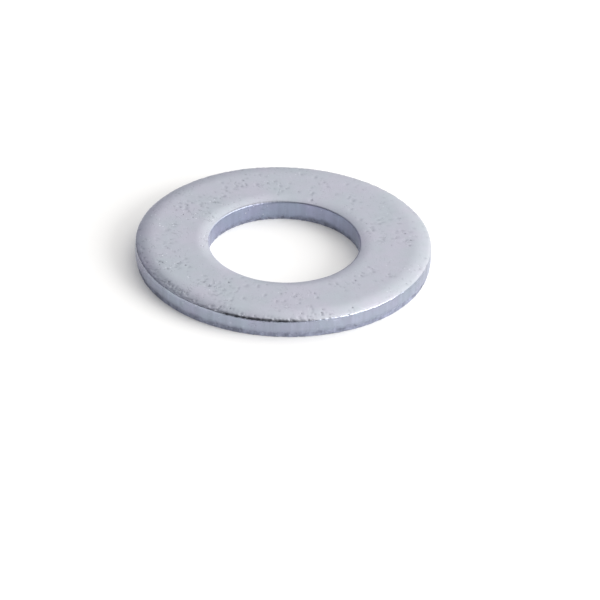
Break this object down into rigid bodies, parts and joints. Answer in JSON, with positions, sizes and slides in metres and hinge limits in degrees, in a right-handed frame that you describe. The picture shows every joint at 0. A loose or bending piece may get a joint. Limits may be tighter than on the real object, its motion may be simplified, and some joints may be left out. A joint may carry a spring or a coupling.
{
  "type": "flat washer",
  "caption": "Round flat steel washer with a plain central bolt hole, a rolled top edge and a slightly torn lower edge.",
  "frame": {"origin": "on the bore's axis, in the plane of the bottom face", "axes": "+Z along the bore's axis, from the bottom face to the face with the rolled edge"},
  "size_m": [0.02, 0.02, 0.0016],
  "materials": {
    "zinc_plated_steel": "satin"
  },
  "bodies": {
    "root": {"washer": "zinc_plated_steel"}
  },
  "joints": []
}
